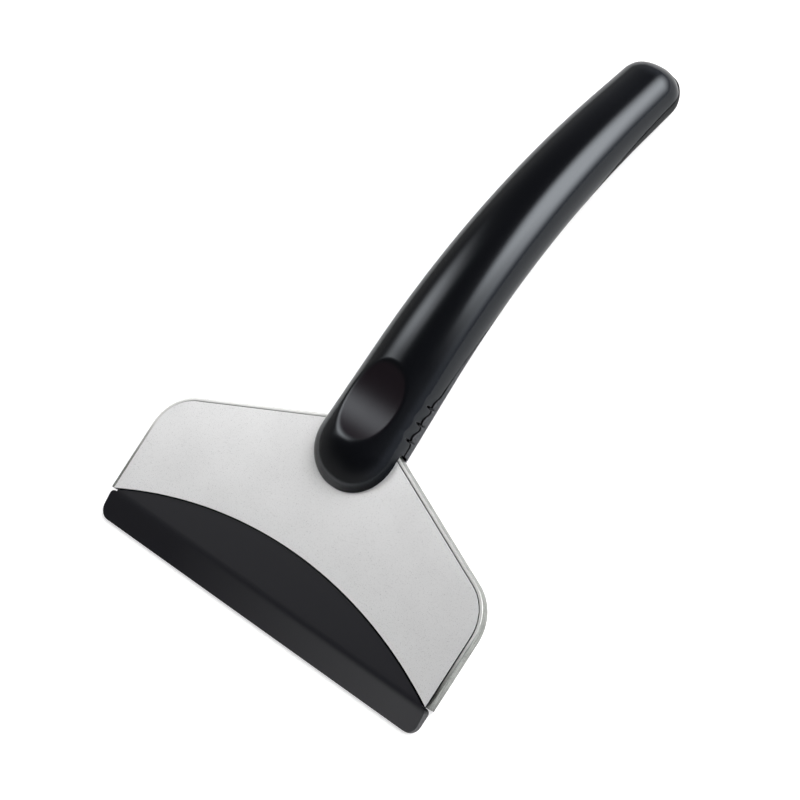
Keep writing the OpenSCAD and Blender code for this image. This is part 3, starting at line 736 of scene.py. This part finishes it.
# A shell is its outer half section and, inside it, the same one set in by the wall, joined at both edges.
# Its marks are 0 to 1 at each point, for its material: the upper one's recess and foot, the lower one's seam
def handleShell(name, side, material):
    lift0 = 0.0 if side > 0 else -head["stackT"]
    noseLift = abs(lift0 + handle["axisDepth"])
    skin = handle["skin"]
    outerS, innerS = ringPlaces(skin, noseLift), ringPlaces(handle["wall"], noseLift)
    t = np.clip((outerS - handle["lipStart"]) / (handle["lipEnd"] - handle["lipStart"]), 0, 1)
    inset = skin + (handle["lip"] * eased(t) if side > 0 else 0)
    outerS = np.minimum(outerS, handle["length"] - inset - handle["tailPlay"])
    outer = halfShell(outerS, inset, side, edgeLift(outerS, side), sectionShares())
    inner = halfShell(innerS, handle["wall"], side, edgeLift(innerS, side),
                      np.linspace(0, 1, handle["innerSides"]))
    outer = roundedEdges(notched(outer, outerS, side), handle["edgeR"])
    near = edgeDistance(outer)
    if side > 0:
        # Painted shade: the foot mark dulls the nose's reflections near the head
        foot = np.clip(handle["footFull"] - near / handle["foot"], 0, 1)
        foot = foot * np.clip((shoulderS() - outerS[:, None]) / handle["footFade"], 0, 1)
        outer, inRecess = sunk(outer, 0)
        inner, _ = sunk(inner, handle["wall"])
        marks = (("inRecess", inRecess, 0.0), ("footShade", foot, 1.0))
    else:
        # Painted shade: the seam mark darkens the lower shell's edge
        marks = (("inSeam", np.clip(handle["paintedShadeFull"] - near / handle["paintedShade"], 0, 1), 1.0),)
        outer = aboveRest(outer)
    rings = np.concatenate([outer, inner[:, ::-1]], axis=1)
    points, faces, first = welded(rings.reshape(-1, 3), ringFaces(*rings.shape[:2]))
    piece = addPiece(name, points, faces, material)
    for label, values, inside in marks:
        values = np.concatenate([values, np.full(inner.shape[:2], inside)], axis=1).reshape(-1)
        attribute = piece.data.attributes.new(label, "FLOAT", "POINT")
        attribute.data.foreach_set("value", values[first])
    print(name, len(points), "points")
    return piece


# Screws close the handle from below: a boss on the shell's inside, and a bore with a wider seat in it
screws = {"places": (11.0, 34.0, 66.0, handle["length"] - 21.0), "throughHead": 2, "bossR": 3.5,
          "boreR": 1.75, "seatR": 2.9, "headH": 1.6, "seatT": 1.4, "lap": 0.2, "rodOver": 1.0}


# The bores and seats as rods square to the axis, or the bosses round them
def screwRods(holes):
    rods = []
    for i, place in enumerate(screws["places"]):
        s = np.array([place])
        y, z, bend, low = axisPoint(s)[0][0], axisPoint(s)[1][0], bendAt(s)[0], -halfH(s, 0)[0]
        joint = -head["stackT"] - z if i < screws["throughHead"] else seamAt(s)[0]
        seat = min(joint - screws["seatT"], low + screws["headH"] + screws["seatT"])
        middle, axis = (0, y, z), (0, math.sin(bend), math.cos(bend))
        if holes:
            rods += [(middle, axis, screws["boreR"], seat - screws["lap"], joint + screws["rodOver"]),
                     (middle, axis, screws["seatR"], low - screws["rodOver"], seat)]
        else:
            rods.append((middle, axis, screws["bossR"], low + handle["wall"] / 2, joint))
    return rods


print("handle")
handleTop = handleShell("handleTop", 1, topPlastic)
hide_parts("handle_top_shell")
handleBottom = handleShell("handleBottom", -1, bottomPlastic)
handleBottom = withRods(handleBottom, screwRods(False), "UNION")
handleBottom = withRods(handleBottom, screwRods(True), "DIFFERENCE")
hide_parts("handle_bottom_shell")

print("fasteners")
finishes = {"rivet": rivetMetal, "screw": screwMetal, "tape": tapeFilm}  # by a word in the node's name
for node, item in frame["nodes"].items():
    for word in finishes.keys() & set(node.split("_")):
        item.data.materials.clear()
        item.data.materials.append(finishes[word])


# White floor: it keeps the soft shadow, and a little light of its own takes it to white for the camera
# and less so for reflections
paper = {"reach": 6.0, "color": "#d8d8d8", "cameraGlow": 0.6, "mirrorGlow": 0.1}


def paperFloor():
    material, tree, shader = startMaterial("whitePaperFloor", Roughness=0.9)
    shader.inputs["Base Color"].default_value = hexColor(paper["color"])
    rays = addNode(tree, "ShaderNodeLightPath").outputs
    mirrored = addNode(tree, "ShaderNodeMath", {0: rays["Is Glossy Ray"], 1: rays["Is Transmission Ray"]},
                       operation="MAXIMUM")
    mirrored = addNode(tree, "ShaderNodeMath", {0: mirrored.outputs[0], 1: paper["mirrorGlow"]},
                       operation="MULTIPLY")
    glow = addNode(tree, "ShaderNodeMath", {0: rays["Is Camera Ray"], 1: paper["cameraGlow"],
                                            2: mirrored.outputs[0]}, operation="MULTIPLY_ADD")
    shader.inputs["Emission Color"].default_value = (1, 1, 1, 1)
    tree.links.new(glow.outputs[0], shader.inputs["Emission Strength"])
    return material


print("studio")
floorMesh = bpy.data.meshes.new("floor")
corners = ((-1, -1), (1, -1), (1, 1), (-1, 1))
floorMesh.from_pydata([(paper["reach"] * x, paper["reach"] * y, 0) for x, y in corners], [], [(0, 1, 2, 3)])
floorMesh.materials.append(paperFloor())
floor = bpy.data.objects.new("floor", floorMesh)
bpy.context.scene.collection.objects.link(floor)


# Direction from an azimuth, clockwise from +Y seen from above, and an elevation
def direction(azimuth, elevation):
    a, e = math.radians(azimuth), math.radians(elevation)
    return Vector((math.cos(e) * math.sin(a), math.cos(e) * math.cos(a), math.sin(e)))


# A softbox of a plain radiance that stands upright, like a window, and fades towards its edges: fades
# gives the faded shares of the width at the right and left as seen from the object, and of the height at
# the bottom and top. Its middle is away from the object at the azimuth, at the height, in metres
def softbox(name, azimuth, away, height, size, radiance, fades):
    facing = direction(azimuth, 0)
    lamp = bpy.data.lights.new(name, "AREA")
    lamp.shape = "RECTANGLE"
    lamp.size, lamp.size_y = size
    lamp.energy = radiance * math.pi * size[0] * size[1]
    lamp.use_nodes = True
    tree = lamp.node_tree
    spot = addNode(tree, "ShaderNodeNewGeometry").outputs["Parametric"]
    across = addNode(tree, "ShaderNodeSeparateXYZ", {0: spot})
    level = 1.0
    for socket, (low, high) in zip(("X", "Y"), fades):
        up = addNode(tree, "ShaderNodeMapRange", {"Value": across.outputs[socket], "From Max": low},
                     interpolation_type="SMOOTHSTEP")
        down = addNode(tree, "ShaderNodeMapRange", {"Value": across.outputs[socket], "From Min": 1 - high,
                                                    "To Min": 1.0, "To Max": 0.0},
                       interpolation_type="SMOOTHSTEP")
        both = addNode(tree, "ShaderNodeMath", {0: up.outputs[0], 1: down.outputs[0]}, operation="MULTIPLY")
        level = addNode(tree, "ShaderNodeMath", {0: both.outputs[0], 1: level},
                        operation="MULTIPLY").outputs[0]
    tree.links.new(level, tree.nodes["Emission"].inputs["Strength"])
    item = bpy.data.objects.new(name, lamp)
    item.location = facing * away + Vector((0, 0, height))
    item.rotation_euler = facing.to_track_quat("Z", "Y").to_euler()
    bpy.context.scene.collection.objects.link(item)


lamps = {
    "keyWindow": {"azimuth": 39, "away": 1.5, "height": 2.93, "size": (3.7, 5.85), "radiance": 8.1,
                  "fades": ((0.44, 0.42), (0.2, 0.62))},
    "sideStrip": {"azimuth": -88, "away": 1.2, "height": 1.52, "size": (0.94, 1.5), "radiance": 5.0,
                  "fades": ((0.5, 0.5), (0.42, 0.48))},
}
for name, settings in lamps.items():
    softbox(name, **settings)

# Dim room: brighter low down and towards the key, where it is also cooler, and dark overhead
room = {"level": 0.37, "swing": 0.12, "towards": 45.0, "dark": 0.02, "darkFrom": 0.25, "darkTo": 0.8,
        "tintFrom": -0.4, "tintTo": 0.6, "tints": ((0.0, "#fffcf8"), (1.0, "#e4ebfb"))}
world = bpy.data.worlds.new("studio")
bpy.context.scene.world = world
world.use_nodes = True
tree = world.node_tree
way = addNode(tree, "ShaderNodeTexCoord").outputs["Generated"]
aside = addNode(tree, "ShaderNodeVectorMath", {0: way, 1: direction(room["towards"], 0)},
                operation="DOT_PRODUCT")
level = addNode(tree, "ShaderNodeMath", {0: aside.outputs["Value"], 1: room["swing"], 2: room["level"]},
                operation="MULTIPLY_ADD")
rise = addNode(tree, "ShaderNodeSeparateXYZ", {0: way}).outputs["Z"]
height = addNode(tree, "ShaderNodeMapRange", {"Value": rise, "From Min": room["darkFrom"],
                                              "From Max": room["darkTo"], "To Min": 1.0,
                                              "To Max": room["dark"]}, interpolation_type="SMOOTHSTEP")
glow = addNode(tree, "ShaderNodeMath", {0: level.outputs[0], 1: height.outputs[0]}, operation="MULTIPLY")
tree.links.new(glow.outputs[0], tree.nodes["Background"].inputs["Strength"])
side = addNode(tree, "ShaderNodeMapRange", {"Value": aside.outputs["Value"], "From Min": room["tintFrom"],
                                            "From Max": room["tintTo"]})
tint = addNode(tree, "ShaderNodeValToRGB", {"Fac": side.outputs[0]}, stops=room["tints"])
tree.links.new(tint.outputs["Color"], tree.nodes["Background"].inputs["Color"])

# The camera stands as in the photograph: aim point, direction and roll in the head's frame
view = {"aimX": 2.876, "aimY": 64.783, "distance": 767.25, "dirX": 0.536297, "dirY": -0.009435,
        "dirZ": 0.843977, "roll": 32.806, "focalPx": 3175.6, "imagePx": 800.0, "sensor": 36.0,
        "clipEnd": 50}
back = Vector((view["dirX"], view["dirY"], view["dirZ"])).normalized()
right = Vector((0, 1, 0)).cross(back).normalized()
turn = Matrix.Rotation(math.radians(view["roll"]), 4, back)
right = turn @ right
up = back.cross(right)
pose = Matrix((right, up, back)).transposed().to_4x4()
spot = headToRow @ (Vector((view["aimX"], view["aimY"], 0)) + back * view["distance"])
camera = bpy.data.objects.new("camera", bpy.data.cameras.new("camera"))
camera.data.sensor_width = view["sensor"]
camera.data.lens = view["focalPx"] / view["imagePx"] * view["sensor"]
camera.data.clip_end = view["clipEnd"]
camera.matrix_world = Matrix.Translation(spot) @ restTurn @ pose
bpy.context.scene.collection.objects.link(camera)
bpy.context.scene.camera = camera
bpy.context.scene.view_settings.view_transform = "Standard"
